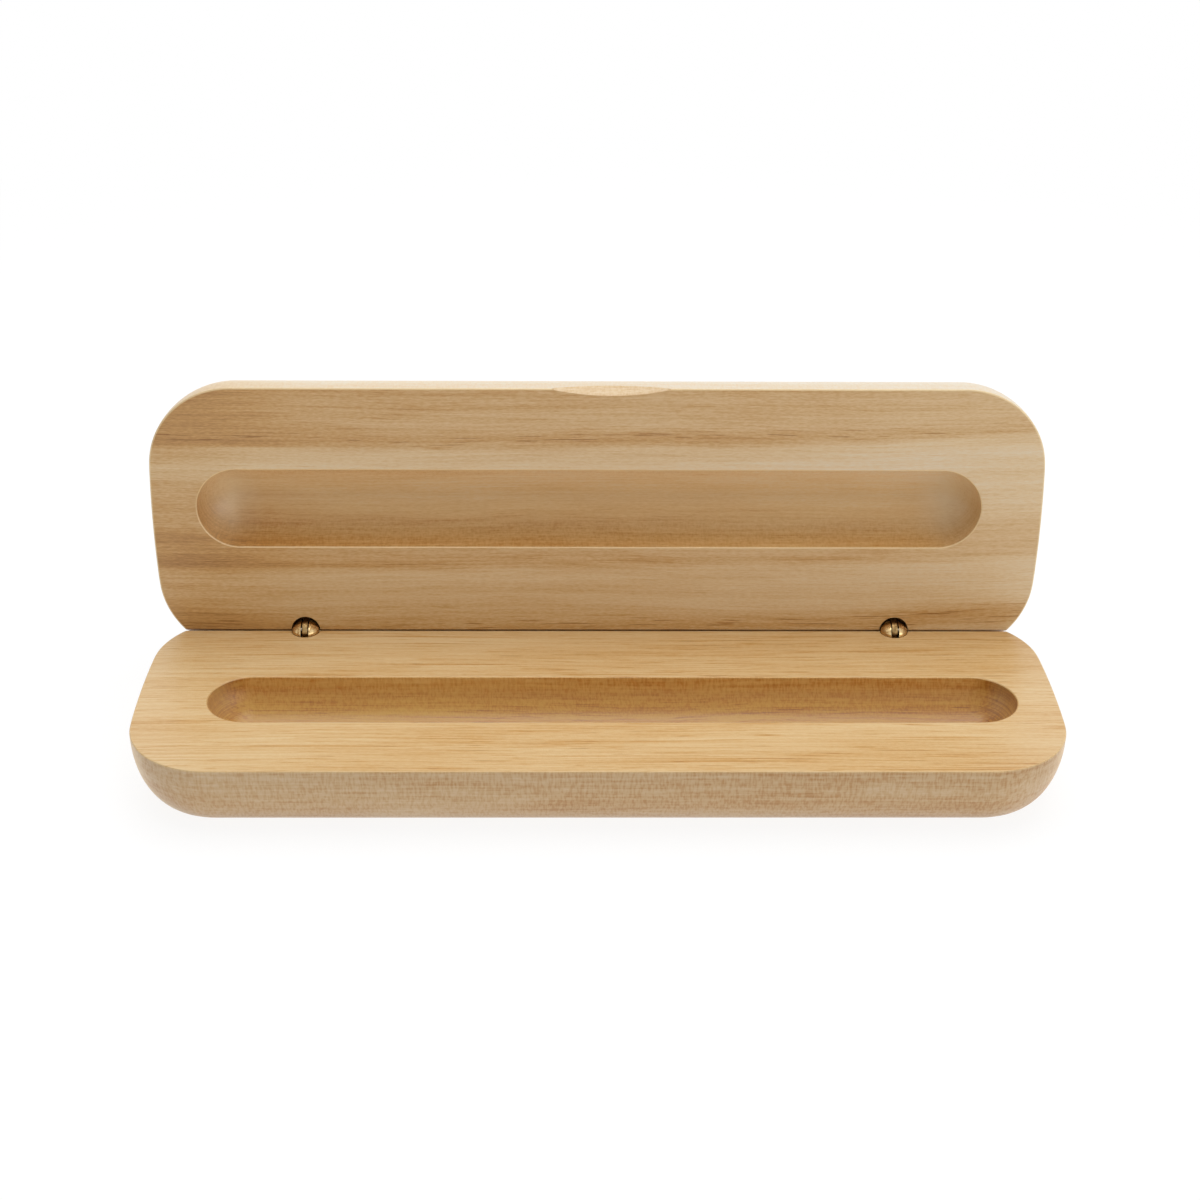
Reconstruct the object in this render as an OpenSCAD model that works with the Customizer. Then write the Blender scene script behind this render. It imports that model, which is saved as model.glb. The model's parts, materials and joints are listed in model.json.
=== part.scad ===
// Pen case: two routed wooden halves joined along the back by two barrel hinges.
// Millimetres. X runs along the case, +Y to the back, +Z up, origin under the middle of the base.
// The case stands open: the lid leans back on the bevelled edges.

/* [Case] */
// Overall length across the bowed ends
case_l = 175; // [160:1:200]
// Depth from the front edge to the back edge
case_d = 56.4; // [54:0.1:62]
// Thickness of each wooden half
half_t = 14; // [13:0.1:17]
// Radius of the four upright corners
corner_r = 16.6; // [12:0.1:20]
// Radius of the bowed ends
end_r = 240; // [150:5:400]
// Upright part of the wall beside the face
wall_h = 1; // [0.6:0.1:3]
// How far the rounded wall draws in towards the outside face
edge_in = 7; // [4:0.1:8]

/* [Pen groove] */
// Radius of the round-nosed groove
groove_r = 8.1; // [6:0.1:9]
// Wood beyond each end of the groove, before its lengthways shift
end_wall = 10.5; // [8.5:0.1:25]
// Distance from the pivot line to the middle of the groove
groove_set = 26.2; // [22:0.1:28]
// Lengthways shift of the groove, which the turned-over lid shows the other way
groove_shift = 2.2; // [0:0.1:4]
// Height of the groove's centre line above the face
groove_lift = 0.2; // [0.1:0.05:0.6]

/* [Thumb notch] */
// Width of the notch along the lid's free edge
notch_w = 24.3; // [16:0.1:30]
// How far the notch runs into the lid's inner face
notch_in = 1.4; // [0.8:0.1:2]
// How far the notch runs down the lid's edge
notch_down = 2.1; // [1:0.1:3]
// Lengthways place of the notch
notch_x = 2.4; // [-10:0.1:10]

/* [Hinges] */
// Angle between the faces when the lid stands open
open_angle = 94.5; // [88:0.5:102]
// Distance from the back edge to the pivot line
pivot_set = 5.4; // [4.6:0.1:6.4]
// Gap between the two faces when the lid is shut
face_gap = 0.2; // [0.15:0.05:0.5]
// Distance from each end of the case to the hinge there
hinge_in = 28.25; // [26:0.05:42]
// Lengthways shift of the hinges and grooves from the middle of the case
work_shift = 0.6; // [-1.5:0.1:1.5]

/* [Hinge barrels] */
// Diameter of the barrels
barrel_d = 5.5; // [5:0.1:5.6]
// Glue gap around each barrel in its hole
glue_gap = 0.12; // [0.1:0.01:0.2]
// Depth of the barrels, measured from the pivot
barrel_l = 8.2; // [7.6:0.1:8.6]
// Height of the straight part of the fork above the pivot
nose_rise = 0.3; // [0.2:0.05:0.4]
// Height of the domed nose above its straight part
nose_h = 1.6; // [1.2:0.1:2]
// Thickness of the tongue
tongue_t = 1.1; // [0.9:0.05:1.3]
// Gap on each side of the tongue
slot_gap = 0.25; // [0.15:0.05:0.3]
// Radius of the rounded end of the tongue
tongue_r = 1.9; // [1.6:0.05:2]
// Diameter of the cross pin
pin_d = 1.2; // [1:0.1:1.4]
// Length of the cross pin
pin_l = 4.4; // [4:0.1:4.6]
// Press gap around the pin in the fork
press_gap = 0.01; // [0.005:0.005:0.02]
// Running gap around the pin in the tongue
run_gap = 0.06; // [0.04:0.01:0.1]

/* [Hidden] */
$fn = 96;
pivot_y = case_d / 2 - pivot_set;
pivot_z = half_t + face_gap / 2;
groove_l = case_l - 2 * end_wall;
hinge_span = case_l - 2 * hinge_in;
corner_y = case_d / 2 - corner_r;
bow_x = case_l / 2 - end_r;
corner_x = bow_x + sqrt(pow(end_r - corner_r, 2) - pow(corner_y, 2));
bow_a = asin(corner_y / (end_r - corner_r));
barrel_r = barrel_d / 2;
hole_r = barrel_r + glue_gap;
hole_end = 0.2;
nose_r = (pow(barrel_r, 2) + pow(nose_h, 2)) / (2 * nose_h);
slot_w = tongue_t + 2 * slot_gap;
slot_depth = tongue_r + 0.7;
shank_top = barrel_r + 0.55;
shank_l = barrel_l - shank_top;
ring_w = 0.5;
ring_h = 0.25;
notch_slope = atan2(notch_in, notch_down);
notch_depth = notch_in * notch_down / norm([notch_in, notch_down]);
notch_r = (pow(notch_w / 2, 2) + pow(notch_depth, 2)) / (2 * notch_depth);
cut = 1;

// Section of the rim: a short upright wall at the face, then a long roundover
module rim_section(inner, outer) {
    round_h = half_t - wall_h;
    translate([inner, 0])
        square([outer - edge_in - inner, half_t]);
    translate([outer - edge_in, round_h])
        square([edge_in, wall_h]);
    intersection() {
        translate([outer - edge_in, round_h])
            scale([edge_in, round_h])
                circle(1, $fn = 64);
        translate([outer - edge_in, 0])
            square([edge_in, round_h]);
    }
}

// Block that a half is cut from: four round corners drawn together with two bowed ends
module block() {
    hull() {
        for (side = [-1, 1], end = [0, 180])
            rotate([0, 0, end])
                translate([corner_x, side * corner_y, 0])
                    rotate_extrude($fn = 64)
                        rim_section(0, corner_r);
        for (end = [0, 180])
            rotate([0, 0, end])
                translate([bow_x, 0, 0])
                    rotate([0, 0, -bow_a])
                        rotate_extrude(angle = 2 * bow_a, $fn = 320)
                            rim_section(end_r - corner_r, end_r);
    }
}

// Round-nosed groove with ball ends
module groove_cut(x) {
    translate([x, pivot_y - groove_set, half_t + groove_lift])
        rotate([0, 90, 0])
            rotate_extrude()
                intersection() {
                    union() {
                        translate([-groove_r, groove_r - groove_l / 2])
                            square([2 * groove_r, groove_l - 2 * groove_r]);
                        for (side = [-1, 1])
                            translate([0, side * (groove_l / 2 - groove_r)])
                                circle(groove_r);
                    }
                    translate([0, -groove_l])
                        square([2 * groove_r, 2 * groove_l]);
                }
}

// Bevel along the hinge edge, on which the open lid comes to rest
module bevel_cut() {
    run = pivot_set + cut;
    drop = run * tan(open_angle / 2);
    rotate([90, 0, 90])
        linear_extrude(case_l + 2 * cut, center = true)
            polygon([
                [pivot_y, half_t],
                [pivot_y + run, half_t - drop],
                [pivot_y + run, half_t + cut],
                [pivot_y, half_t + cut]
            ]);
}

// Blind holes for the barrels
module barrel_holes(x) {
    for (side = [-1, 1])
        translate([x + side * hinge_span / 2, pivot_y, pivot_z - barrel_l - hole_end])
            cylinder(h = barrel_l + hole_end + cut, r = hole_r);
}

// One wooden half lying face up; turn is 1 for the base and -1 for the turned-over lid
module wooden_half(turn) {
    difference() {
        block();
        groove_cut(turn * work_shift + groove_shift);
        bevel_cut();
        barrel_holes(turn * work_shift);
    }
}

// Scooped notch across the free edge
module notch_cut(x) {
    translate([x, -case_d / 2, half_t])
        rotate([-notch_slope, 0, 0])
            translate([0, -(notch_r - notch_depth), 0])
                cylinder(h = 8 * notch_down, r = notch_r, center = true, $fn = 256);
}

// Carries a face-up half, or a barrel in it, to where the open lid has it
module lid_place() {
    translate([0, pivot_y, pivot_z])
        rotate([180 - open_angle, 0, 0])
            rotate([0, 0, 180])
                translate([0, -pivot_y, -pivot_z])
                    children();
}

// Glue rings turned into the shank of a barrel
module glue_rings() {
    for (i = [1 : 3])
        translate([barrel_r - ring_h, -barrel_l + i * shank_l / 4 - ring_w / 2])
            square([2 * ring_h, ring_w]);
}

// Forked barrel with a domed nose, centred on the pivot
module hinge_fork() {
    difference() {
        rotate_extrude()
            difference() {
                intersection() {
                    translate([0, -barrel_l])
                        square([barrel_r, 2 * barrel_l]);
                    union() {
                        translate([0, nose_rise + nose_h - nose_r])
                            circle(nose_r);
                        translate([-barrel_d, -2 * barrel_l])
                            square([2 * barrel_d, 2 * barrel_l]);
                    }
                }
                glue_rings();
            }
        translate([-slot_w / 2, -barrel_d, -slot_depth])
            cube([slot_w, 2 * barrel_d, slot_depth + barrel_d]);
        rotate([0, 90, 0])
            cylinder(h = 2 * barrel_d, r = pin_d / 2 + press_gap, center = true);
    }
}

// Barrel with a flat tongue that swings in the fork's slot
module hinge_tongue() {
    rotate_extrude()
        difference() {
            translate([0, -barrel_l])
                square([barrel_r, shank_l]);
            glue_rings();
        }
    rotate([90, 0, 90])
        linear_extrude(tongue_t, center = true)
            difference() {
                union() {
                    circle(tongue_r);
                    translate([-tongue_r, -shank_top - ring_w])
                        square([2 * tongue_r, shank_top + ring_w]);
                }
                circle(pin_d / 2 + run_gap);
            }
}

// Cross pin along the pivot line
module hinge_pin() {
    rotate([0, 90, 0])
        cylinder(h = pin_l, r = pin_d / 2, center = true);
}

module base() {
    color("#d3ad78")
        wooden_half(1);
}

module lid() {
    color("#c9a26c")
        lid_place()
            difference() {
                wooden_half(-1);
                notch_cut(-notch_x);
            }
}

module left_hinge_fork() {
    color("#b08d4a")
        translate([work_shift - hinge_span / 2, pivot_y, pivot_z])
            hinge_fork();
}

module left_hinge_tongue() {
    color("#b9964f")
        lid_place()
            translate([hinge_span / 2 - work_shift, pivot_y, pivot_z])
                hinge_tongue();
}

module left_hinge_pin() {
    color("#a9abad")
        translate([work_shift - hinge_span / 2, pivot_y, pivot_z])
            hinge_pin();
}

module right_hinge_fork() {
    color("#b08d4a")
        translate([work_shift + hinge_span / 2, pivot_y, pivot_z])
            hinge_fork();
}

module right_hinge_tongue() {
    color("#b9964f")
        lid_place()
            translate([-hinge_span / 2 - work_shift, pivot_y, pivot_z])
                hinge_tongue();
}

module right_hinge_pin() {
    color("#a9abad")
        translate([work_shift + hinge_span / 2, pivot_y, pivot_z])
            hinge_pin();
}

base();
lid();
left_hinge_fork();
left_hinge_tongue();
left_hinge_pin();
right_hinge_fork();
right_hinge_tongue();
right_hinge_pin();
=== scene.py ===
import json
import math

import bmesh
import bpy
from mathutils import Matrix, Vector


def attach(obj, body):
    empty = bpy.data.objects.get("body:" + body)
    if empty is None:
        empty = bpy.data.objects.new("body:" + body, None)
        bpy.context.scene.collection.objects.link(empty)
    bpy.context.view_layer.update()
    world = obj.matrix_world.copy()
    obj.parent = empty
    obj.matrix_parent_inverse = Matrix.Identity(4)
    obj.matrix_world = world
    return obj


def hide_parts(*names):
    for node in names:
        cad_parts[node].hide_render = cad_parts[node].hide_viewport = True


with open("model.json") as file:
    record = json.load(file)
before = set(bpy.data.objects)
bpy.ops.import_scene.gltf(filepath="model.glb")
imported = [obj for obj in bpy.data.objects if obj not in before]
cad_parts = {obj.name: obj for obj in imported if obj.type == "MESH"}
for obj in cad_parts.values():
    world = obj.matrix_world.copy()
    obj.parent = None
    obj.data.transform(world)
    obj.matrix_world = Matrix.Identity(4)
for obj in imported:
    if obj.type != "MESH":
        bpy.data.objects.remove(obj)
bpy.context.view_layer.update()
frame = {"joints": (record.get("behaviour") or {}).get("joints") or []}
mm = 0.001
weld = 0.002 * mm  # vertices this close become one
touch = 1e-6  # metres, for vertices on one line
flat = 0.9  # upward part of the normal of a level face

hinge = frame["joints"][0]
pivot = Vector(hinge["pos_m"])
openAngle = hinge["range_deg"][1]  # degrees from the shut lid to the lid at rest


def newPiece(operator, **settings):  # a primitive at its place, with its object at the origin
    bpy.ops.object.select_all(action="DESELECT")
    operator(**settings)
    bpy.ops.object.transform_apply(location=True, rotation=True, scale=True)
    return bpy.context.object


def makeActive(piece):
    bpy.ops.object.select_all(action="DESELECT")
    piece.select_set(True)
    bpy.context.view_layer.objects.active = piece


def pick(kind, test):  # edit mode: selects the vertices, edges or faces that pass the test
    mesh = bpy.context.object.data
    bpy.ops.mesh.select_mode(type=kind)
    bpy.ops.mesh.select_all(action="DESELECT")
    shape = bmesh.from_edit_mesh(mesh)
    for part in {"VERT": shape.verts, "EDGE": shape.edges, "FACE": shape.faces}[kind]:
        if test(part):
            part.select_set(True)
    shape.select_flush_mode()
    bmesh.update_edit_mesh(mesh)


def combine(piece, other, operation):  # the other piece is used up
    makeActive(piece)
    change = piece.modifiers.new("combine", "BOOLEAN")
    change.operation = operation
    change.solver = "EXACT"
    change.object = other
    bpy.ops.object.modifier_apply(modifier=change.name)
    bpy.data.objects.remove(other)


def copyOf(piece, name):  # a copy with its own mesh
    makeActive(piece)
    bpy.ops.object.duplicate()
    bpy.context.object.name = name
    return bpy.context.object


def moveMesh(piece, matrix):  # puts the piece in place and leaves its object at the origin
    makeActive(piece)
    piece.matrix_world = matrix
    bpy.ops.object.transform_apply(location=True, rotation=True, scale=True)


def finishMesh(piece, angle):
    makeActive(piece)
    bpy.ops.object.mode_set(mode="EDIT")
    bpy.ops.mesh.select_all(action="SELECT")
    bpy.ops.mesh.remove_doubles(threshold=weld)
    bpy.ops.mesh.normals_make_consistent(inside=False)
    bpy.ops.object.mode_set(mode="OBJECT")
    bpy.ops.object.shade_smooth_by_angle(angle=math.radians(angle))
    even = piece.modifiers.new("even shading", "WEIGHTED_NORMAL")
    even.keep_sharp = True
    bpy.ops.object.modifier_apply(modifier=even.name)


# camera

cameraSettings = {
    "place": (-4.57, -329.75, 215.95),  # mm
    "pitch": 28.93,  # degrees below the horizon
    "yaw": 0.823,
    "roll": 0.466,
    "lens": 60.43,
    "sensor": 36,
    "clip": (0.01, 20),  # metres
}

bpy.ops.object.camera_add()
camera = bpy.context.object
camera.name = "camera"
camera.data.lens = cameraSettings["lens"]
camera.data.sensor_width = cameraSettings["sensor"]
camera.data.clip_start, camera.data.clip_end = cameraSettings["clip"]
turn = Matrix.Rotation(math.radians(-cameraSettings["yaw"]), 4, "Z")
tilt = Matrix.Rotation(math.radians(90 - cameraSettings["pitch"]), 4, "X")
roll = Matrix.Rotation(math.radians(cameraSettings["roll"]), 4, "Z")
camera.matrix_world = Matrix.Translation(Vector(cameraSettings["place"]) * mm) @ turn @ tilt @ roll
bpy.context.scene.camera = camera
print("camera placed")


# wooden halves

halfSettings = {
    "length": 175,  # mm, across the bowed ends
    "depth": 56.4,
    "thickness": 14,
    "cornerRadius": 16.6,
    "cornerSteps": 28,
    "endRadius": 240,
    "endCuts": 15,
    "wall": 1,  # upright part of the wall beside the face
    "drawIn": 7,  # how far the roundover comes in at the outside
    "roundSteps": 18,
    "hingeGap": 0.16,  # the bevelled edges stand this far off the pivot line
    "grooveRadius": 8.1,
    "grooveLength": 154,
    "grooveSet": 26.2,  # from the pivot line
    "grooveLift": 0.2,  # its axis lies this far above the face
    "grooveSteps": (64, 47),  # round the bar, and over its ball ends
    "holeRadius": 2.87,
    "holeDepth": 8.4,  # below the pivot line
    "holeSpan": 118.5,
    "holeSteps": 64,
    "easing": 0.3,  # sanded edges of the face and the groove
    "easeSteps": 4,
    "rimStart": 10,  # degrees at which the groove's rounding leaves the face
    "rimOverlap": 0.04,  # the rounding ends this far inside the groove
    "rimSteps": 24,
    "rimLift": 1,  # the cutter for it starts this far above the face
    "rimTilt": (0.08, 0.995),  # upward part of the normals on the rounded rims
    "crispFrom": 25,  # degrees between faces
}


def roundOver(drawIn, height, steps):  # edit mode: insets the picked face along a quarter of an ellipse
    for step in range(steps):
        a, b = (math.pi / 2 * turn / steps for turn in (step, step + 1))
        bpy.ops.mesh.inset(
            thickness=drawIn * (math.cos(a) - math.cos(b)) * mm,
            depth=height * (math.sin(b) - math.sin(a)) * mm,
        )


def blankHalf(s):  # face up, drawn down from its outline
    cornerY = s["depth"] / 2 - s["cornerRadius"]
    bowX = s["length"] / 2 - s["endRadius"]
    cornerX = bowX + math.sqrt((s["endRadius"] - s["cornerRadius"]) ** 2 - cornerY**2)
    squareEnd = cornerX + s["cornerRadius"]
    wallTop = (s["thickness"] - s["easing"]) * mm
    blank = newPiece(bpy.ops.mesh.primitive_plane_add, size=1, location=(0, 0, wallTop))
    bpy.ops.object.mode_set(mode="EDIT")
    bpy.ops.transform.resize(value=(2 * squareEnd * mm, s["depth"] * mm, 1))
    bpy.ops.mesh.bevel(
        affect="VERTICES", offset=s["cornerRadius"] * mm, segments=s["cornerSteps"], profile=0.5
    )

    def atEnd(v):
        return abs(abs(v.co.x) - squareEnd * mm) < touch

    pick("EDGE", lambda e: all(atEnd(v) for v in e.verts))
    bpy.ops.mesh.subdivide(number_cuts=s["endCuts"])
    bowReach = cornerY * s["endRadius"] / (s["endRadius"] - s["cornerRadius"])
    for side in (-1, 1):  # the ends bow out by 0.3 mm
        pick("VERT", lambda v: atEnd(v) and abs(v.co.y) < touch and v.co.x * side > 0)
        bpy.ops.transform.translate(
            value=(side * (s["length"] / 2 - squareEnd) * mm, 0, 0),
            use_proportional_edit=True,
            proportional_edit_falloff="INVERSE_SQUARE",
            proportional_size=bowReach * mm,
        )
    bpy.ops.mesh.select_all(action="SELECT")
    bpy.ops.mesh.extrude_region()
    bpy.ops.transform.translate(value=(0, 0, (s["easing"] - s["wall"]) * mm))
    bpy.ops.mesh.select_all(action="SELECT")
    bpy.ops.mesh.normals_make_consistent(inside=False)
    pick("FACE", lambda f: f.normal.z < -flat)
    roundOver(s["drawIn"], s["thickness"] - s["wall"], s["roundSteps"])
    pick("FACE", lambda f: f.normal.z > flat)
    roundOver(s["easing"], s["easing"], s["easeSteps"])
    bpy.ops.mesh.select_all(action="SELECT")  # bevel along the hinge edge
    slope = math.radians(openAngle / 2)
    bpy.ops.mesh.bisect(
        plane_co=(0, pivot.y - s["hingeGap"] * mm, s["thickness"] * mm),
        plane_no=(0, math.sin(slope), math.cos(slope)),
        use_fill=True,
        clear_outer=True,
    )
    bpy.ops.object.mode_set(mode="OBJECT")
    return blank


def grooveCutter(s, x):  # a ball pulled out to a round-nosed bar
    segments, rings = s["grooveSteps"]
    cutter = newPiece(
        bpy.ops.mesh.primitive_uv_sphere_add,
        segments=segments,
        ring_count=rings,
        radius=s["grooveRadius"] * mm,
        rotation=(0, math.pi / 2, 0),
    )
    bpy.ops.object.mode_set(mode="EDIT")
    reach = s["grooveLength"] / 2 - s["grooveRadius"]
    for side in (-1, 1):
        pick("VERT", lambda v: v.co.x * side > 0)
        bpy.ops.transform.translate(value=(side * reach * mm, 0, 0))
    bpy.ops.object.mode_set(mode="OBJECT")
    middle = Vector((x * mm, pivot.y - s["grooveSet"] * mm, (s["thickness"] + s["grooveLift"]) * mm))
    moveMesh(cutter, Matrix.Translation(middle))
    return cutter


def rimCutter(s, x):  # a stadium that flares out to round the groove's rim over
    quarter = 90 - s["rimStart"]
    turns = [
        math.radians(s["rimStart"] + quarter * step / s["easeSteps"]) for step in range(s["easeSteps"] + 1)
    ]
    foot = s["grooveRadius"] - s["rimOverlap"]  # half width of the groove at the foot of the rounding
    top = foot + s["easing"] * (1 - math.sin(turns[0]))
    reach = s["grooveLength"] / 2 - s["grooveRadius"]
    cutter = newPiece(bpy.ops.mesh.primitive_plane_add, size=1)
    bpy.ops.object.mode_set(mode="EDIT")
    bpy.ops.transform.resize(value=(2 * (reach + top) * mm, 2 * top * mm, 1))
    bpy.ops.mesh.bevel(affect="VERTICES", offset=top * mm, segments=s["rimSteps"], profile=0.5)
    bpy.ops.mesh.select_all(action="SELECT")
    bpy.ops.mesh.remove_doubles(threshold=weld)
    bpy.ops.mesh.extrude_region()
    drop = s["rimLift"] + s["easing"] * (1 - math.cos(turns[0]))
    bpy.ops.transform.translate(value=(0, 0, -drop * mm))
    bpy.ops.mesh.select_all(action="SELECT")
    bpy.ops.mesh.normals_make_consistent(inside=False)
    pick("FACE", lambda f: f.normal.z < -flat)
    for a, b in zip(turns, turns[1:]):
        bpy.ops.mesh.inset(
            thickness=s["easing"] * (math.sin(b) - math.sin(a)) * mm,
            depth=s["easing"] * (math.cos(a) - math.cos(b)) * mm,
        )
    bpy.ops.object.mode_set(mode="OBJECT")
    above = Vector((x * mm, pivot.y - s["grooveSet"] * mm, (s["thickness"] + s["rimLift"]) * mm))
    moveMesh(cutter, Matrix.Translation(above))
    return cutter


def holeCutter(s, x):
    return newPiece(
        bpy.ops.mesh.primitive_cylinder_add,
        vertices=s["holeSteps"],
        radius=s["holeRadius"] * mm,
        depth=2 * s["holeDepth"] * mm,
        location=(x * mm, pivot.y, pivot.z),
    )


def notchCutter(s, n):  # a wide roller tipped across the free edge
    slope = math.atan2(n["into"], n["down"])
    scoop = n["into"] * n["down"] / math.hypot(n["into"], n["down"])
    radius = ((n["width"] / 2) ** 2 + scoop**2) / (2 * scoop)
    edge = Matrix.Translation(Vector((n["x"], -s["depth"] / 2, s["thickness"])) * mm)
    lean = Matrix.Rotation(-slope, 4, "X")
    back = Matrix.Translation((0, -(radius - scoop) * mm, 0))
    cutter = newPiece(
        bpy.ops.mesh.primitive_cylinder_add,
        vertices=n["steps"],
        radius=radius * mm,
        depth=n["roller"] * mm,
    )
    moveMesh(cutter, edge @ lean @ back)
    return cutter


def markSanded(half, s):  # the rounded rims take the second material slot
    makeActive(half)
    bpy.ops.object.mode_set(mode="EDIT")
    foot = (s["thickness"] - s["easing"]) * mm + 10 * touch  # clear of the faces that end there
    low, high = s["rimTilt"]
    pick("FACE", lambda f: low < f.normal.z < high and f.calc_center_median().z > foot)
    half.active_material_index = 1
    bpy.ops.object.material_slot_assign()
    bpy.ops.object.mode_set(mode="OBJECT")


def routHalf(blank, name, s, shift):
    half = copyOf(blank, name)
    half.data.materials.append(None)
    half.data.materials.append(None)
    combine(half, grooveCutter(s, shift["groove"]), "DIFFERENCE")
    combine(half, rimCutter(s, shift["groove"]), "DIFFERENCE")
    markSanded(half, s)
    for side in (-1, 1):
        combine(half, holeCutter(s, shift["holes"] + side * s["holeSpan"] / 2), "DIFFERENCE")
    return half


shifts = {  # mm off the middle, along the case
    "base": {"groove": 2.8, "holes": 0.6},
    "lid": {"groove": 1.6, "holes": -0.6},
}
blank = blankHalf(halfSettings)
base = routHalf(blank, "base_maple", halfSettings, shifts["base"])
lid = routHalf(blank, "lid_maple", halfSettings, shifts["lid"])
bpy.data.objects.remove(blank)

notchSettings = {  # mm, on the lid's free edge
    "x": -2.4,
    "width": 24.3,
    "into": 1.4,
    "down": 2.1,
    "roller": 16.8,  # length of the roller that cuts it
    "steps": 512,
}
combine(lid, notchCutter(halfSettings, notchSettings), "DIFFERENCE")
finishMesh(base, halfSettings["crispFrom"])
finishMesh(lid, halfSettings["crispFrom"])
print("halves routed:", len(base.data.polygons), len(lid.data.polygons), "faces")

toOpen = (
    Matrix.Translation(pivot)
    @ Matrix.Rotation(math.radians(180 - openAngle), 4, "X")
    @ Matrix.Rotation(math.pi, 4, "Z")
    @ Matrix.Translation(-pivot)
)
moveMesh(lid, toOpen)
for half, body in ((base, "base"), (lid, "lid")):
    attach(half, body)
    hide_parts(body)
print("lid opened")


# barrel hinges

barrelSettings = {
    "radius": 2.75,  # mm
    "length": 8.2,  # below the pivot
    "noseRise": 0.3,  # straight part above the pivot
    "noseHeight": 1.6,  # dome on top of that
    "noseSteps": 9,
    "noseFlat": 0.4,  # part of a step that stays flat on top
    "slotWidth": 1.6,
    "slotDepth": 2.6,  # below the pivot
    "tongueThickness": 1.1,
    "tongueRadius": 1.9,
    "tongueRoot": 0.5,  # sunk in the shank
    "shankTop": 3.3,  # below the pivot
    "pinRadius": 0.6,
    "pinLength": 4.4,
    "pressGap": 0.01,  # round the pin in the fork
    "runGap": 0.06,  # and in the tongue
    "rings": 3,  # glue rings in the shank
    "ringWidth": 0.5,
    "ringDepth": 0.25,
    "easing": 0.07,
    "easeSteps": 2,
    "easeFrom": 50,  # degrees between the faces of an edge
    "crispFrom": 40,
    "turnSteps": 72,
    "pinSteps": 40,
}


def shank(b, top):  # a turned rod with glue rings
    height = top + b["length"]
    rod = newPiece(
        bpy.ops.mesh.primitive_cylinder_add,
        vertices=b["turnSteps"],
        radius=b["radius"] * mm,
        depth=height * mm,
        location=(0, 0, (top - b["length"]) / 2 * mm),
    )
    bpy.ops.object.mode_set(mode="EDIT")
    for ring in range(1, b["rings"] + 1):
        middle = -b["length"] + ring * (b["length"] - b["shankTop"]) / (b["rings"] + 1)
        low, high = middle - b["ringWidth"] / 2, middle + b["ringWidth"] / 2
        for level in (low, high):
            bpy.ops.mesh.select_all(action="SELECT")
            bpy.ops.mesh.bisect(plane_co=(0, 0, level * mm), plane_no=(0, 0, 1))
        pick("FACE", lambda f: low < f.calc_center_median().z / mm < high)
        bpy.ops.mesh.extrude_region_shrink_fatten(
            TRANSFORM_OT_shrink_fatten={"value": -b["ringDepth"] * mm}
        )
    bpy.ops.object.mode_set(mode="OBJECT")
    return rod


def pinRod(b, radius, length):
    return newPiece(
        bpy.ops.mesh.primitive_cylinder_add,
        vertices=b["pinSteps"],
        radius=radius * mm,
        depth=length * mm,
        rotation=(0, math.pi / 2, 0),
    )


def boreCutter(b, gap):  # for the pin, right through the barrel
    return pinRod(b, b["pinRadius"] + gap, 3 * b["radius"])


def easeMetal(piece, b):  # before the cuts, which stay sharp
    makeActive(piece)
    bpy.ops.object.mode_set(mode="EDIT")
    bpy.ops.mesh.select_all(action="SELECT")
    bpy.ops.mesh.remove_doubles(threshold=weld)
    bpy.ops.mesh.normals_make_consistent(inside=False)
    pick("EDGE", lambda e: e.is_manifold and e.calc_face_angle() > math.radians(b["easeFrom"]))
    bpy.ops.mesh.bevel(offset=b["easing"] * mm, segments=b["easeSteps"], affect="EDGES")
    bpy.ops.object.mode_set(mode="OBJECT")


def hingeFork(b):  # domed nose, slotted for the tongue and bored for the pin
    fork = shank(b, b["noseRise"])
    bpy.ops.object.mode_set(mode="EDIT")
    pick("FACE", lambda f: f.normal.z > flat and f.calc_center_median().z > 0)
    ball = (b["radius"] ** 2 + b["noseHeight"] ** 2) / (2 * b["noseHeight"])
    reach = math.asin(b["radius"] / ball)
    steps = b["noseSteps"] + b["noseFlat"]
    for step in range(b["noseSteps"]):
        a, c = (reach * (1 - turn / steps) for turn in (step, step + 1))
        bpy.ops.mesh.inset(
            thickness=ball * (math.sin(a) - math.sin(c)) * mm,
            depth=ball * (math.cos(c) - math.cos(a)) * mm,
        )
    bpy.ops.object.mode_set(mode="OBJECT")
    easeMetal(fork, b)
    slotHeight = b["slotDepth"] + b["radius"]
    slot = newPiece(
        bpy.ops.mesh.primitive_cube_add,
        size=1,
        scale=(b["slotWidth"] * mm, 4 * b["radius"] * mm, slotHeight * mm),  # open at both sides
        location=(0, 0, (slotHeight / 2 - b["slotDepth"]) * mm),
    )
    combine(fork, slot, "DIFFERENCE")
    combine(fork, boreCutter(b, b["pressGap"]), "DIFFERENCE")
    finishMesh(fork, b["crispFrom"])
    return fork


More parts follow.
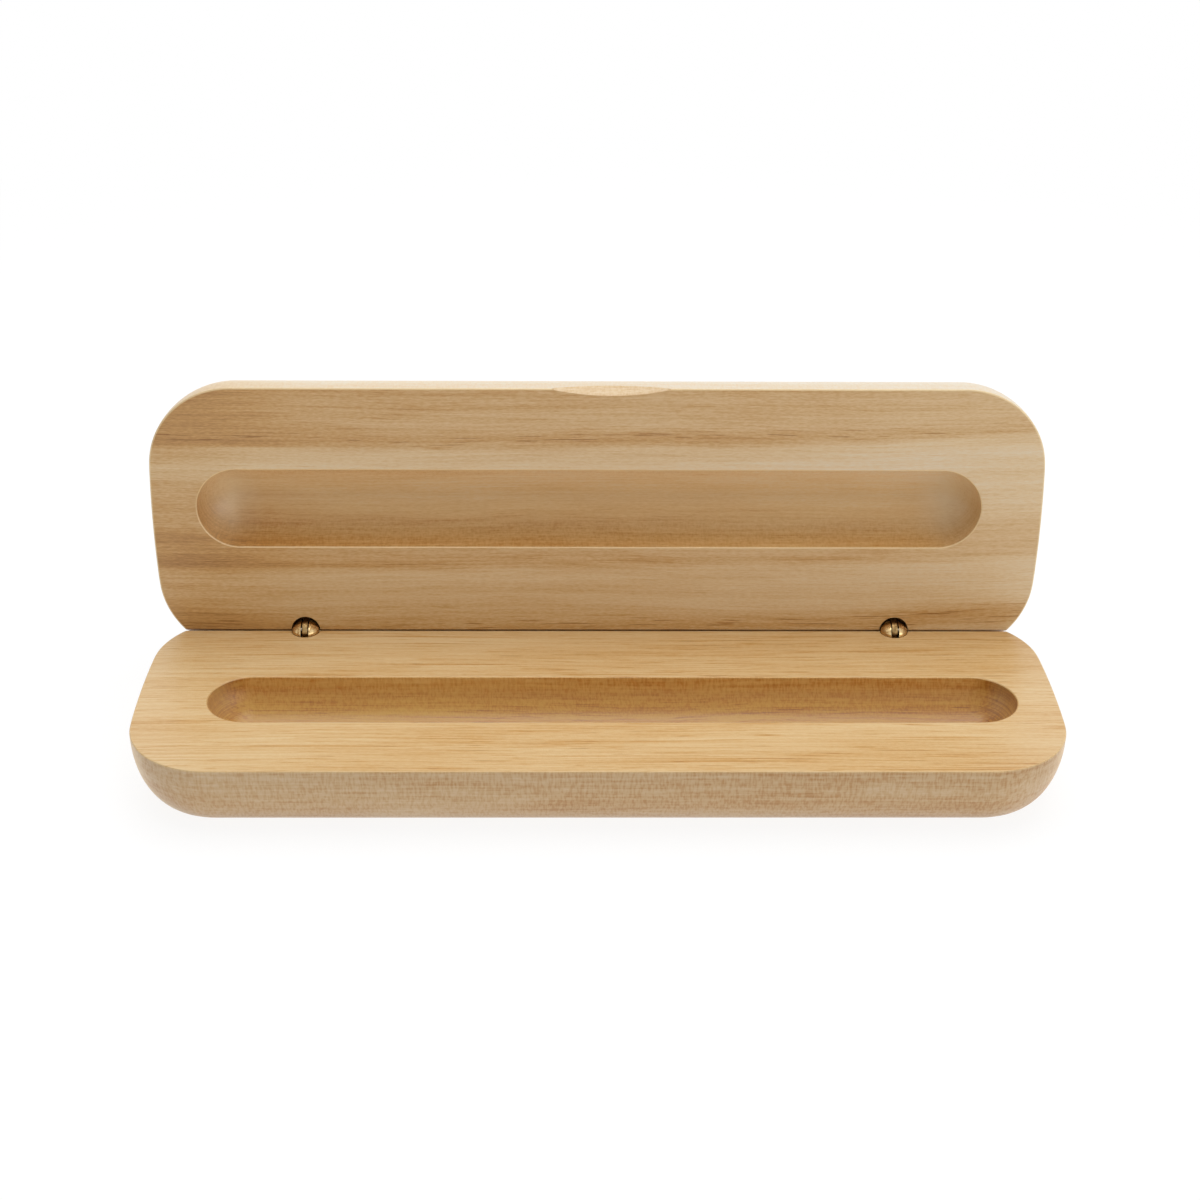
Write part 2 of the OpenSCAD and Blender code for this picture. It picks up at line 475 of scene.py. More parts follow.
def hingeTongue(b):  # a rounded strip standing in a shank
    strip = newPiece(
        bpy.ops.mesh.primitive_cylinder_add,
        vertices=b["turnSteps"],
        radius=b["tongueRadius"] * mm,
        depth=b["tongueThickness"] * mm,
        rotation=(0, math.pi / 2, 0),
    )
    bpy.ops.object.mode_set(mode="EDIT")
    bpy.ops.mesh.select_all(action="SELECT")
    bpy.ops.mesh.bisect(plane_co=(0, 0, 0), plane_no=(0, 0, -1), use_fill=True, clear_outer=True)
    pick("FACE", lambda f: f.normal.z < -flat and f.calc_center_median().z < touch)
    bpy.ops.mesh.extrude_region()
    bpy.ops.transform.translate(value=(0, 0, -(b["shankTop"] + b["tongueRoot"]) * mm))
    bpy.ops.object.mode_set(mode="OBJECT")
    easeMetal(strip, b)
    combine(strip, boreCutter(b, b["runGap"]), "DIFFERENCE")
    tongue = shank(b, -b["shankTop"])
    easeMetal(tongue, b)
    combine(tongue, strip, "UNION")
    finishMesh(tongue, b["crispFrom"])
    return tongue


fork = hingeFork(barrelSettings)
tongue = hingeTongue(barrelSettings)
pin = pinRod(barrelSettings, barrelSettings["pinRadius"], barrelSettings["pinLength"])
easeMetal(pin, barrelSettings)
finishMesh(pin, barrelSettings["crispFrom"])

brassPieces, pinPieces = [], []
for side, name in ((-1, "left"), (1, "right")):
    x = (shifts["base"]["holes"] + side * halfSettings["holeSpan"] / 2) * mm
    inBase = Matrix.Translation((x, pivot.y, pivot.z))
    inLid = toOpen @ Matrix.Translation((-x, pivot.y, pivot.z))
    for shape, part, place, body in (
        (fork, "fork", inBase, "base"),
        (tongue, "tongue", inLid, "lid"),
        (pin, "pin", inBase, "base"),
    ):
        piece = copyOf(shape, f"{name}_hinge_{part}_{'steel' if part == 'pin' else 'brass'}")
        moveMesh(piece, place)
        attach(piece, body)
        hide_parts(f"{name}_hinge_{part}")
        (pinPieces if part == "pin" else brassPieces).append(piece)
for shape in (fork, tongue, pin):
    bpy.data.objects.remove(shape)
print("hinges in place")


# materials

smooth = {"interpolation_type": "SMOOTHSTEP"}


def linear(hexColour):  # sRGB hex to the linear values that sockets take
    parts = [int(hexColour[i : i + 2], 16) / 255 for i in (1, 3, 5)]
    return [p / 12.92 if p <= 0.04045 else ((p + 0.055) / 1.055) ** 2.4 for p in parts] + [1]


def put(tree, kind, settings=None, values=None, stops=()):  # a node, its settings, values or links, and ramp
    node = tree.nodes.new(kind)
    for name, value in (settings or {}).items():
        setattr(node, name, value)
    for name, value in (values or {}).items():
        if isinstance(value, bpy.types.NodeSocket):
            tree.links.new(value, node.inputs[name])
        else:
            node.inputs[name].default_value = value
    for stop, (at, value) in enumerate(stops):
        steps = node.color_ramp.elements
        step = steps[stop] if stop < 2 else steps.new(at)  # a new ramp has two
        step.position = at
        step.color = linear(value) if isinstance(value, str) else (value, value, value, 1)
    return node


def blankMaterial(name):
    material = bpy.data.materials.new(name)
    material.use_nodes = True
    material.node_tree.nodes.clear()
    return material


# Maple, planed, routed and sanded under a thin satin lacquer. Growth layers show as soft bands, and as arcs
# on the ball ends, fibres as fine orange streaks, and rays as short upright ticks on the walls. Painted light
# and shade are mixed into the colour too: painted shade in the base's ball ends, on the lid's left end and in
# some of its bands, painted highlights on the lid's top edge, the rims and the ball ends, and painted light
# and shade across the grooves.
grainMarks = {  # size in mm along, across and through the board, and the part of the noise that shows
    "layers": {"follows": "tilted", "size": (150, 40, 0.6), "detail": 1, "shows": (0.2, 0.8), "on": "all"},
    "growthArcsAndShade": {"follows": "tilted", "size": (60, 60, 0.2), "detail": 1, "shows": (0.35, 0.65), "on": "ball"},
    "rings": {"follows": "tilted", "size": (60, 60, 0.5), "detail": 1, "shows": (0.35, 0.65), "on": "end"},
    "fibres": {"follows": "bent", "size": (20, 0.45, 0.8), "detail": 3, "shows": (0.2, 0.8), "on": "all"},
    "mottle": {"follows": "bent", "size": (45, 6, 6), "detail": 2, "shows": (0.2, 0.8), "on": "all"},
    "dashes": {"follows": "bent", "size": (9, 0.26, 0.5), "detail": 1, "shows": (0.58, 0.74), "on": "face"},
    "cracks": {"follows": "bent", "size": (11, 0.3, 0.4), "detail": 1, "shows": (0.7, 0.76), "on": "face"},
    "threads": {"follows": "bent", "size": (40, 0.35, 0.6), "detail": 0, "shows": (0.66, 0.76), "on": "face"},
    "flecks": {"follows": "bent", "size": (10, 0.3, 0.4), "detail": 1, "shows": (0.6, 0.7), "on": "dark"},
    "grit": {"follows": "bent", "size": (1.1, 0.2, 0.4), "detail": 1, "shows": (0.25, 0.75), "on": "all"},
    "ticks": {"follows": "board", "size": (0.4, 0.6, 2), "detail": 1, "shows": (0.4, 0.64), "on": "wall"},
    "lines": {"follows": "board", "size": (9, 3, 0.3), "detail": 1, "shows": (0.45, 0.7), "on": "wall"},
}
baseMaple = {
    "move": (0, 0, 0),  # mm, into the half's own frame with its face up
    "turn": (0, 0, 0),
    "tones": ((0.0, "#a36c2e"), (0.3, "#cd9a54"), (0.5, "#deb981"), (0.7, "#e8cb9a"), (1.0, "#f1dcb6")),
    "bands": ((-38, 0.5), (-24, 0.53), (-12, 0.5), (6, 0.52), (12, 0.47), (17, 0.52), (24, 0.46), (32, 0.5)),
    "bandSlope": (0.01, 1, 1.2),  # the bands lean through the thickness
    "bandCurve": (0, 0),  # mm along the board where they are straight, and how fast they curve from there
    "sway": (0, 3, 1.6),  # mm that the grain wanders
    "layerTilt": 2,  # degrees from the face
    "marks": {  # change of tone where a mark is faint, and where it is strong
        "layers": (-0.06, 0.06),
        # both darker: the base's ball ends darkened all over, painted shade on top of the growth arcs
        "growthArcsAndShade": (-0.3, -0.04),
        "rings": (-0.07, 0.03),
        "fibres": (-0.11, 0.11),
        "mottle": (-0.08, 0.08),
        "dashes": (0.02, -0.2),
        "cracks": (0, -0.36),
        "threads": (0, -0.2),
        "grit": (-0.05, 0.05),
        "ticks": (0.06, -0.1),
        "lines": (0.02, -0.06),
    },
    "drift": -0.0004,  # change of tone along the grain, per mm
    "darkEndAndShade": (50, 86, 0),  # mm along the grain where one end turns darker, wood colour and on the lid painted shade away from the light, and by how much
    "sapwoodAndLitEdge": (-16, -26, 0),  # mm across the grain where the walls turn to pale sapwood, painted lighter still as a highlight on the lid's top edge, and its tone
    "wall": "#dedbdf",  # the sawn walls are greyer
    "grooveX": shifts["base"]["groove"],
    "grooveTintsAndPaintedShade": (  # colour of the routed wood with painted light and shade, from the free side to the hinge side
        (0.4, "#dfc98e"), (0.8, "#d9c368"), (0.95, "#e0c57e"), (0.98, "#efd69b"), (1, "#feecbb"),
    ),
    "paleGrainAndPaintedSheen": 0.22,  # pale end grain in the ball ends, with a painted highlight on it
    "paleGrainAndPaintedSheenAlong": ((3.6, 0), (6.2, 0.8), (8.2, 1)),  # share of that pale patch and painted highlight by the mm past the straight groove
    "paleGrainAndPaintedSheenAcross": ((0, 1), (1, 1)),  # and across the groove
    "sanded": ("#e8c78c", 0.3),  # colour of the rounded rims, sanded paler and painted lighter as a highlight, and its share
}
lidMaple = dict(
    baseMaple,
    move=tuple(toOpen.inverted().to_translation() / mm),
    turn=(math.radians(openAngle - 180), 0, -math.pi),
    # the palest tone serves the pale sapwood and the painted highlight on the free edge
    tones=((0.0, "#9c6a2e"), (0.3, "#c89959"), (0.5, "#dab784"), (0.7, "#e5c99d"), (1.0, "#e9dcc6")),
    bands=(  # pale sapwood with a painted highlight at the free edge, then growth bands towards the hinge, some with painted shade
        (-38, 0.84), (-33, 0.78), (-31, 0.7), (-28.6, 0.45), (-23, 0.45), (-19, 0.43), (-17.2, 0.37),
        (-16.4, 0.43), (-15.4, 0.61), (-13.4, 0.66), (-12.4, 0.74), (-10, 0.71), (-4, 0.58), (0, 0.52),
        # from 3 to 8.8: the lower wall of the lid's groove painted darker as shade
        (3, 0.46), (6.2, 0.47), (8.8, 0.42), (9.6, 0.5), (10.8, 0.6), (17, 0.59), (18.8, 0.56),
        # from 20 to 23.4: a dark band above the hinge line, wood figure with painted shade where the lid
        # meets the base
        (20, 0.45), (22.5, 0.32), (23.4, 0.34), (25.6, 0.5), (32, 0.5),
    ),
    bandSlope=(0, 1, 0.8),
    bandCurve=(50, 0.000187),
    layerTilt=14,
    marks={
        "layers": (-0.05, 0.05),
        "growthArcsAndShade": (-0.06, 0.02),
        "rings": (-0.07, 0.03),
        "fibres": (-0.08, 0.08),
        "mottle": (-0.06, 0.06),
        "dashes": (0.01, -0.1),
        "flecks": (0, -0.34),
        "grit": (-0.07, 0.07),
        "ticks": (0.02, -0.06),
        "lines": (0.01, -0.04),
    },
    drift=-0.0007,
    # the lid's left end darker: wood colour, and painted shade on the side away from the light
    darkEndAndShade=(52, 84, -0.18),
    # the walls turn pale towards the free edge: sapwood, and a painted highlight on the lid's lit top edge
    sapwoodAndLitEdge=(-16, -26, 0.86),
    wall="#ffffff",
    grooveX=shifts["lid"]["groove"],
    # painted shade in the middle of the lid's groove, lighter towards its rims
    grooveTintsAndPaintedShade=((0.2, "#ffffff"), (0.5, "#eee2c8"), (1, "#fff2d8")),
    paleGrainAndPaintedSheen=0.6,
    paleGrainAndPaintedSheenAlong=((-4, 0), (0, 0.5), (2.2, 1), (5, 0.8), (8, 0.25)),
    paleGrainAndPaintedSheenAcross=((0, 0.2), (0.3, 0.85), (0.5, 1), (0.8, 0.7), (1, 0.15)),
    # the lid's rims get a stronger painted highlight
    sanded=("#f6deae", 0.6),
)
lacquer = {
    "rough": 0.42,
    "fibreRough": 0.5,  # change with the fibres
    "index": 1.5,  # of refraction
    "coat": 0.35,
    "coatRough": 0.3,
    # colour of the pale end grain and painted highlight in the ball ends
    "paleGrainAndPaintedSheen": "#e6d3ae",
    "relief": 0.4,
    "reliefDepth": 0.15,  # mm
}
boardSettings = {
    "wander": (80, 28, 28),  # mm in which the grain wanders
    "sides": {  # part of the normal at which a point starts to count as each side, and at which it does
        "end": ("X", 0.2, 0.7),
        "wall": ("Y", 0.35, 0.8),
        "face": ("Z", 0.4, 0.8),
    },
    "routed": (0.25, 0.1),  # mm off the groove's surface where its tint starts, and where it is full
    "dark": (0.46, 0.38),  # tone of a band where its flecks start, and where they are strongest
}


def grainFrames(tree, s):  # mm along, across and through the board: plain, bent as the grain, and tilted
    place = put(tree, "ShaderNodeTexCoord").outputs["Object"]
    board = put(
        tree,
        "ShaderNodeMapping",
        {},
        {"Vector": place, "Location": s["move"], "Rotation": s["turn"], "Scale": (1 / mm,) * 3},
    ).outputs["Vector"]
    size = tuple(1 / side for side in boardSettings["wander"])
    slow = put(tree, "ShaderNodeMapping", {}, {"Vector": board, "Scale": size}).outputs["Vector"]
    wander = put(tree, "ShaderNodeTexNoise", {}, {"Vector": slow, "Scale": 1, "Detail": 1}).outputs["Color"]
    bent = put(
        tree,
        "ShaderNodeVectorMath",
        {"operation": "MULTIPLY_ADD"},
        {0: wander, 1: s["sway"], 2: board},
    ).outputs["Vector"]
    tilt = (math.radians(s["layerTilt"]), 0, 0)
    tilted = put(tree, "ShaderNodeMapping", {}, {"Vector": bent, "Rotation": tilt}).outputs["Vector"]
    return {"board": board, "bent": bent, "tilted": tilted}


def facingSides(tree, s):  # how far each point faces the end, the wall or the face of the board
    normal = put(tree, "ShaderNodeTexCoord").outputs["Normal"]
    facing = put(
        tree, "ShaderNodeMapping", {"vector_type": "NORMAL"}, {"Vector": normal, "Rotation": s["turn"]}
    ).outputs["Vector"]
    facing = put(tree, "ShaderNodeVectorMath", {"operation": "ABSOLUTE"}, {0: facing}).outputs["Vector"]
    facing = put(tree, "ShaderNodeSeparateXYZ", {}, {"Vector": facing}).outputs
    sides = {}
    for side, (axis, low, high) in boardSettings["sides"].items():
        sides[side] = put(
            tree, "ShaderNodeMapRange", smooth, {"Value": facing[axis], 1: low, 2: high}
        ).outputs["Result"]
    return sides


def groovePlaces(tree, s, board, y):  # the routed surface, mm into its ball ends, and the place across it
    radius = halfSettings["grooveRadius"]
    reach = halfSettings["grooveLength"] / 2 - radius
    grooveY = pivot.y / mm - halfSettings["grooveSet"]
    middle = (s["grooveX"], grooveY, halfSettings["thickness"])
    zero = (0, 0, 0)
    off = board
    for operation, by in (("SUBTRACT", middle), ("ABSOLUTE", zero), ("SUBTRACT", (reach, 0, 0))):
        off = put(tree, "ShaderNodeVectorMath", {"operation": operation}, {0: off, 1: by}).outputs["Vector"]
    intoBall = put(tree, "ShaderNodeSeparateXYZ", {}, {"Vector": off}).outputs["X"]
    off = put(tree, "ShaderNodeVectorMath", {"operation": "MAXIMUM"}, {0: off, 1: zero}).outputs["Vector"]
    gap = put(tree, "ShaderNodeVectorMath", {"operation": "LENGTH"}, {0: off}).outputs["Value"]
    start, full = (radius + skin for skin in boardSettings["routed"])
    routed = put(tree, "ShaderNodeMapRange", smooth, {"Value": gap, 1: start, 2: full}).outputs["Result"]
    across = put(
        tree, "ShaderNodeMapRange", {}, {"Value": y, 1: grooveY - radius, 2: grooveY + radius}
    ).outputs["Result"]  # 0 at the free side, 1 at the hinge side
    return routed, intoBall, across


def growthBands(tree, s, bent, x):  # across the board, read from their place on the face
    lean = put(
        tree, "ShaderNodeVectorMath", {"operation": "DOT_PRODUCT"}, {0: bent, 1: s["bandSlope"]}
    ).outputs["Value"]
    straightAt, curve = s["bandCurve"]
    off = put(tree, "ShaderNodeMath", {"operation": "SUBTRACT"}, {0: x, 1: straightAt}).outputs[0]
    bow = put(tree, "ShaderNodeMath", {"operation": "MULTIPLY"}, {0: off, 1: off}).outputs[0]
    across = put(
        tree, "ShaderNodeMath", {"operation": "MULTIPLY_ADD"}, {0: bow, 1: curve, 2: lean}
    ).outputs[0]
    onFace = Vector(s["sway"]) / 2 + Vector((0, 0, halfSettings["thickness"]))
    first, last = s["bands"][0][0], s["bands"][-1][0]
    width = last - first
    start = Vector(s["bandSlope"]).dot(onFace) + first
    place = put(
        tree, "ShaderNodeMapRange", {}, {"Value": across, 1: start, 2: start + width}
    ).outputs["Result"]
    stops = [((at - first) / width, level) for at, level in s["bands"]]
    return put(tree, "ShaderNodeValToRGB", {}, {"Fac": place}, stops).outputs["Color"]


def boardTone(tree, s, bands, x, y, face):  # the bands, pale sapwood with a painted highlight on the walls, and a change along the board with painted shade at the lid's one end
    # pale walls towards one side: sapwood, and on the lid a painted highlight
    low, high, level = s["sapwoodAndLitEdge"]
    edge = put(
        tree, "ShaderNodeMapRange", smooth, {"Value": y, 1: low, 2: high, 3: 0, 4: level}
    ).outputs["Result"]
    upright = put(tree, "ShaderNodeMath", {"operation": "SUBTRACT"}, {0: 1.0, 1: face}).outputs[0]
    edge = put(tree, "ShaderNodeMath", {"operation": "MULTIPLY"}, {0: edge, 1: upright}).outputs[0]
    growth = put(tree, "ShaderNodeMath", {"operation": "MAXIMUM"}, {0: bands, 1: edge}).outputs[0]
    # one end darker: wood colour, and on the lid painted shade
    low, high, change = s["darkEndAndShade"]
    end = put(
        tree, "ShaderNodeMapRange", smooth, {"Value": x, 1: low, 2: high, 3: 0, 4: change}
    ).outputs["Result"]
    tone = put(
        tree, "ShaderNodeMath", {"operation": "MULTIPLY_ADD"}, {0: x, 1: s["drift"], 2: growth}
    ).outputs[0]
    return put(tree, "ShaderNodeMath", {}, {0: tone, 1: end}).outputs[0]


def addMarks(tree, s, grains, sides, tone):  # the tone with each mark added on its side, and the marks
    marks = {}
    for mark, (faint, strong) in s["marks"].items():
        m = grainMarks[mark]
        size = tuple(1 / side for side in m["size"])
        drawn = put(
            tree, "ShaderNodeMapping", {}, {"Vector": grains[m["follows"]], "Scale": size}
        ).outputs["Vector"]
        noise = put(
            tree, "ShaderNodeTexNoise", {}, {"Vector": drawn, "Scale": 1, "Detail": m["detail"]}
        ).outputs["Fac"]
        low, high = m["shows"]
        marks[mark] = put(
            tree, "ShaderNodeMapRange", smooth, {"Value": noise, 1: low, 2: high, 3: faint, 4: strong}
        ).outputs["Result"]
        tone = put(
            tree,
            "ShaderNodeMath",
            {"operation": "MULTIPLY_ADD"},
            {0: marks[mark], 1: sides.get(m["on"], 1), 2: tone},
        ).outputs[0]
    return tone, marks


def grooveColour(tree, s, colour, routed, intoBall, across):  # tinted across the groove, partly as painted light and shade, with pale end grain and a painted highlight in the ball ends
    # the routed wood's tint with painted light and shade across the groove
    tint = put(tree, "ShaderNodeValToRGB", {}, {"Fac": across}, s["grooveTintsAndPaintedShade"]).outputs["Color"]
    colour = put(
        tree,
        "ShaderNodeMix",
        {"data_type": "RGBA", "blend_type": "MULTIPLY"},
        {"Factor": routed, "A": colour, "B": tint},
    ).outputs["Result"]
    low, high = s["paleGrainAndPaintedSheenAlong"][0][0], s["paleGrainAndPaintedSheenAlong"][-1][0]
    along = put(tree, "ShaderNodeMapRange", {}, {"Value": intoBall, 1: low, 2: high}).outputs["Result"]
    alongStops = [((at - low) / (high - low), share) for at, share in s["paleGrainAndPaintedSheenAlong"]]
    alongShare = put(tree, "ShaderNodeValToRGB", {}, {"Fac": along}, alongStops).outputs["Color"]
    acrossShare = put(tree, "ShaderNodeValToRGB", {}, {"Fac": across}, s["paleGrainAndPaintedSheenAcross"]).outputs["Color"]
    # share of the pale end grain and painted highlight in the ball ends
    paleAndSheenShare = routed
    for share in (alongShare, acrossShare, s["paleGrainAndPaintedSheen"]):
        paleAndSheenShare = put(tree, "ShaderNodeMath", {"operation": "MULTIPLY"}, {0: paleAndSheenShare, 1: share}).outputs[0]
    return put(
        tree,
        "ShaderNodeMix",
        {"data_type": "RGBA"},
        {"Factor": paleAndSheenShare, "A": colour, "B": linear(lacquer["paleGrainAndPaintedSheen"])},
    ).outputs["Result"]


def maple(name, s, sanded):  # the rounded rims are sanded paler and carry a painted highlight
    material = blankMaterial(name)
    tree = material.node_tree
    grains = grainFrames(tree, s)
    inBoard = put(tree, "ShaderNodeSeparateXYZ", {}, {"Vector": grains["board"]})
    x, y = inBoard.outputs["X"], inBoard.outputs["Y"]
    routed, intoBall, across = groovePlaces(tree, s, grains["board"], y)
    bands = growthBands(tree, s, grains["bent"], x)

    sides = facingSides(tree, s)
    sides["ball"] = put(
        tree, "ShaderNodeMath", {"operation": "MULTIPLY"}, {0: routed, 1: sides["end"]}
    ).outputs[0]
    start, full = boardSettings["dark"]
    sides["dark"] = put(
        tree, "ShaderNodeMapRange", smooth, {"Value": bands, 1: start, 2: full}
    ).outputs["Result"]

    tone = boardTone(tree, s, bands, x, y, sides["face"])
    tone, marks = addMarks(tree, s, grains, sides, tone)
    colour = put(tree, "ShaderNodeValToRGB", {}, {"Fac": tone}, s["tones"]).outputs["Color"]
    colour = grooveColour(tree, s, colour, routed, intoBall, across)
    sawn = put(
        tree, "ShaderNodeMath", {"operation": "SUBTRACT", "use_clamp": True}, {0: sides["wall"], 1: routed}
    ).outputs[0]
    colour = put(
        tree,
        "ShaderNodeMix",
        {"data_type": "RGBA", "blend_type": "MULTIPLY"},
        {"Factor": sawn, "A": colour, "B": linear(s["wall"])},
    ).outputs["Result"]
    # the rims: paler sanded wood with a painted highlight
    if sanded:
        shade, share = s["sanded"]
        colour = put(
            tree, "ShaderNodeMix", {"data_type": "RGBA"}, {"Factor": share, "A": colour, "B": linear(shade)}
        ).outputs["Result"]

    relief = put(tree, "ShaderNodeMath", {}, {0: marks["fibres"], 1: marks["ticks"]}).outputs[0]
    depth = {"Strength": lacquer["relief"], "Distance": lacquer["reliefDepth"] * mm}
    bump = put(tree, "ShaderNodeBump", {}, {"Height": relief, **depth}).outputs["Normal"]
    rough = put(
        tree,
        "ShaderNodeMath",
        {"operation": "MULTIPLY_ADD"},
        {0: marks["fibres"], 1: lacquer["fibreRough"], 2: lacquer["rough"]},
    ).outputs[0]
    surface = put(
        tree,
        "ShaderNodeBsdfPrincipled",
        {},
        {
            "Base Color": colour,
            "Roughness": rough,
            "IOR": lacquer["index"],
            "Coat Weight": lacquer["coat"],
            "Coat Roughness": lacquer["coatRough"],
            "Normal": bump,
        },
    ).outputs["BSDF"]
    put(tree, "ShaderNodeOutputMaterial", {}, {"Surface": surface})
    return material


for half, recipe in ((base, baseMaple), (lid, lidMaple)):
    for slot, sanded in enumerate((False, True)):
        half.data.materials[slot] = maple(f"{half.name}_{'edge' if sanded else 'face'}", recipe, sanded)


# Turned brass, tumbled and a little tarnished: warm yellow, soft gloss, browner in blotches.
brassSettings = {
    "bright": "#dabd8a",
    "dull": "#9a7240",
    "rough": 0.2,
    "dullRough": 0.2,  # added where it is dull
    "blotch": 0.9,  # mm
    "shows": (0.42, 0.7),  # part of the blotches that is dull
    "lathe": (5, 5, 0.12),  # mm, size of the turning marks
    "relief": 0.1,
    "reliefDepth": 0.02,  # mm
}
darkTongueSettings = dict(brassSettings, bright="#a3875a", dull="#6b4f2c", rough=0.3)  # darker and browner, for the tongue in the slot
steelSettings = dict(brassSettings, bright="#b9b8b4", dull="#8d8b86")  # drawn wire, a plain soft grey


def turnedMetal(name, s):
    material = blankMaterial(name)
    tree = material.node_tree
    place = put(tree, "ShaderNodeTexCoord").outputs["Object"]
    inMm = put(tree, "ShaderNodeMapping", {}, {"Vector": place, "Scale": (1 / mm,) * 3}).outputs["Vector"]
    blotch = put(tree, "ShaderNodeTexNoise", {}, {"Vector": inMm, "Scale": 1 / s["blotch"], "Detail": 3})
    drawn = put(
        tree, "ShaderNodeMapping", {}, {"Vector": inMm, "Scale": tuple(1 / side for side in s["lathe"])}
    )
    lathe = put(
        tree, "ShaderNodeTexNoise", {}, {"Vector": drawn.outputs["Vector"], "Scale": 1, "Detail": 1}
    )
    low, high = s["shows"]
    tarnish = put(
        tree, "ShaderNodeMapRange", smooth, {"Value": blotch.outputs["Fac"], 1: low, 2: high}
    ).outputs["Result"]
    colour = put(
        tree,
        "ShaderNodeMix",
        {"data_type": "RGBA"},
        {"Factor": tarnish, "A": linear(s["bright"]), "B": linear(s["dull"])},
    ).outputs["Result"]
    rough = put(
        tree, "ShaderNodeMath", {"operation": "MULTIPLY_ADD"}, {0: tarnish, 1: s["dullRough"], 2: s["rough"]}
    ).outputs[0]
    bump = put(
        tree,
        "ShaderNodeBump",
        {},
        {"Height": lathe.outputs["Fac"], "Strength": s["relief"], "Distance": s["reliefDepth"] * mm},
    ).outputs["Normal"]
    surface = put(
        tree,
        "ShaderNodeBsdfPrincipled",
        {},
        {"Base Color": colour, "Metallic": 1.0, "Roughness": rough, "Normal": bump},
    ).outputs["BSDF"]
    put(tree, "ShaderNodeOutputMaterial", {}, {"Surface": surface})
    return material


brass = turnedMetal("turned_brass", brassSettings)
darkTongue = turnedMetal("worn_brass", darkTongueSettings)
steel = turnedMetal("drawn_steel", steelSettings)
for piece in brassPieces + pinPieces:
    piece.data.materials.clear()
for piece in brassPieces:
    piece.data.materials.append(darkTongue if "tongue" in piece.name else brass)
for piece in pinPieces:
    piece.data.materials.append(steel)
print("materials made")


# studio: a white floor and background, an overhead lamp a little behind the case, and a weak fill

studioSettings = {
    "ambient": (0.15, 0.56),  # from the front, and from above and behind
    "behind": (0, 0.6, 0.8),  # the way to the brighter side
    "turns": (-0.2, 0.9),  # cosines to that way where the front light ends and the back light is full
    "floorSize": 6,  # metres
    "floorTone": 0.92,
    "floorWhite": 0.84,  # share of the floor that shows as plain white beside the case
    "floorFade": (0.16, 0.42),  # metres from the middle, where it starts and is all white
    "floorGlow": 0.28,  # the floor is a light table
    "key": {"place": (0.06, 0.16, 0.9), "size": 0.8, "watts": 5.0},
    "fill": {"place": (0.75, -0.65, 0.25), "size": 0.9, "watts": 2.9},
    "aim": (0, 0.01, 0.02),  # both lamps point here
}
pureWhite = (1, 1, 1, 1)

bpy.context.scene.view_settings.view_transform = "Standard"


def seenRays(tree):  # rays that should meet the plain white background
    path = put(tree, "ShaderNodeLightPath")
    mirrored = put(
        tree,
        "ShaderNodeMath",
        {"operation": "MAXIMUM"},
        {0: path.outputs["Is Glossy Ray"], 1: path.outputs["Is Transmission Ray"]},
    ).outputs[0]
    return put(
        tree, "ShaderNodeMath", {"operation": "MAXIMUM"}, {0: path.outputs["Is Camera Ray"], 1: mirrored}
    ).outputs[0]


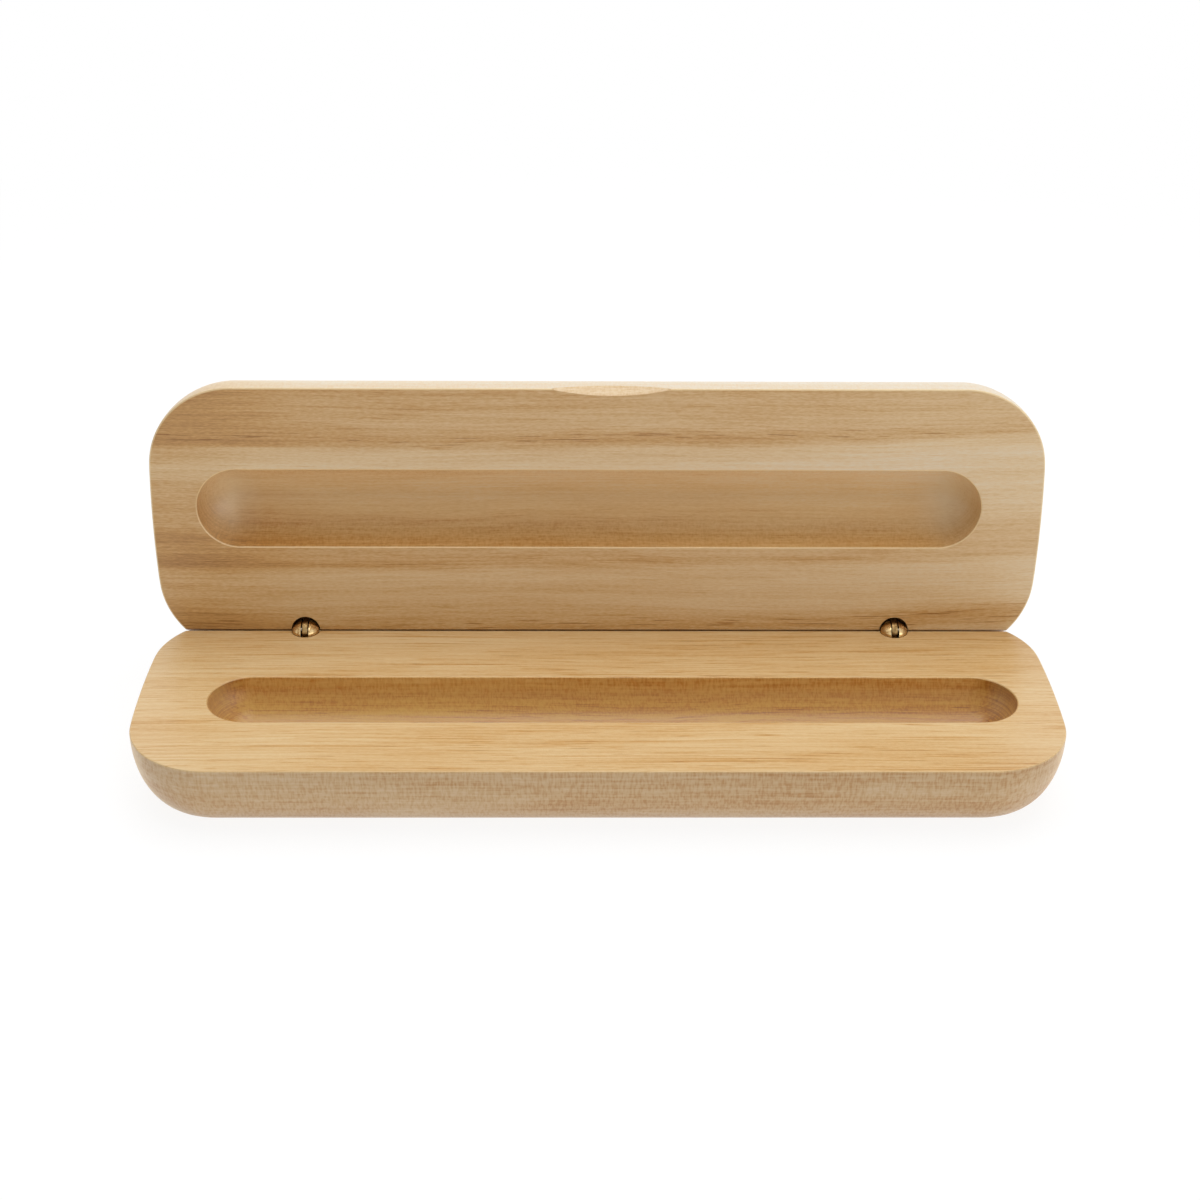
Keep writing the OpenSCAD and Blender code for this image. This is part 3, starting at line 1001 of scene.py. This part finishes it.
def whiteSky(s):  # dim light on the case, plain white behind it
    sky = bpy.data.worlds.new("white studio")
    bpy.context.scene.world = sky
    sky.use_nodes = True
    tree = sky.node_tree
    tree.nodes.clear()
    way = put(tree, "ShaderNodeTexCoord").outputs["Generated"]
    behind = put(
        tree, "ShaderNodeVectorMath", {"operation": "DOT_PRODUCT"}, {0: way, 1: s["behind"]}
    ).outputs["Value"]
    low, high = s["turns"]
    front, back = s["ambient"]
    level = put(
        tree, "ShaderNodeMapRange", {}, {"Value": behind, 1: low, 2: high, 3: front, 4: back}
    ).outputs["Result"]
    dim = put(tree, "ShaderNodeBackground", {}, {"Color": pureWhite, "Strength": level}).outputs[0]
    white = put(tree, "ShaderNodeBackground", {}, {"Color": pureWhite, "Strength": 1.0}).outputs[0]
    both = put(tree, "ShaderNodeMixShader", {}, {"Fac": seenRays(tree), 1: dim, 2: white}).outputs[0]
    put(tree, "ShaderNodeOutputWorld", {}, {"Surface": both})


def whiteFloor(s):  # a lit sheet that turns plain white away from the case
    bpy.ops.object.select_all(action="DESELECT")
    bpy.ops.mesh.primitive_plane_add(size=s["floorSize"])
    sheet = bpy.context.object
    sheet.name = "floor"
    paper = blankMaterial("white_paper")
    tree = paper.node_tree
    grey = (s["floorTone"],) * 3 + (1,)
    matt = put(tree, "ShaderNodeBsdfDiffuse", {}, {"Color": grey}).outputs[0]
    lit = put(tree, "ShaderNodeEmission", {}, {"Color": pureWhite, "Strength": s["floorGlow"]}).outputs[0]
    matt = put(tree, "ShaderNodeAddShader", {}, {0: matt, 1: lit}).outputs[0]
    white = put(tree, "ShaderNodeEmission", {}, {"Color": pureWhite, "Strength": 1.0}).outputs[0]
    spot = put(tree, "ShaderNodeTexCoord").outputs["Object"]
    away = put(tree, "ShaderNodeVectorMath", {"operation": "LENGTH"}, {0: spot}).outputs["Value"]
    near, far = s["floorFade"]
    share = put(
        tree, "ShaderNodeMapRange", smooth, {"Value": away, 1: near, 2: far, 3: s["floorWhite"], 4: 1}
    ).outputs["Result"]
    seen = put(tree, "ShaderNodeMath", {"operation": "MULTIPLY"}, {0: seenRays(tree), 1: share}).outputs[0]
    mixed = put(tree, "ShaderNodeMixShader", {}, {"Fac": seen, 1: matt, 2: white}).outputs[0]
    put(tree, "ShaderNodeOutputMaterial", {}, {"Surface": mixed})
    sheet.data.materials.append(paper)
    return sheet


whiteSky(studioSettings)
floor = whiteFloor(studioSettings)

for name in ("key", "fill"):
    s = studioSettings[name]
    bpy.ops.object.light_add(type="AREA", location=s["place"])
    lamp = bpy.context.object
    lamp.name = name + "_lamp"
    lamp.data.size = s["size"]
    lamp.data.energy = s["watts"]
    lamp.visible_camera = False
    aim = Vector(studioSettings["aim"]) - Vector(s["place"])
    lamp.rotation_euler = aim.to_track_quat("-Z", "Y").to_euler()
print("studio lit")
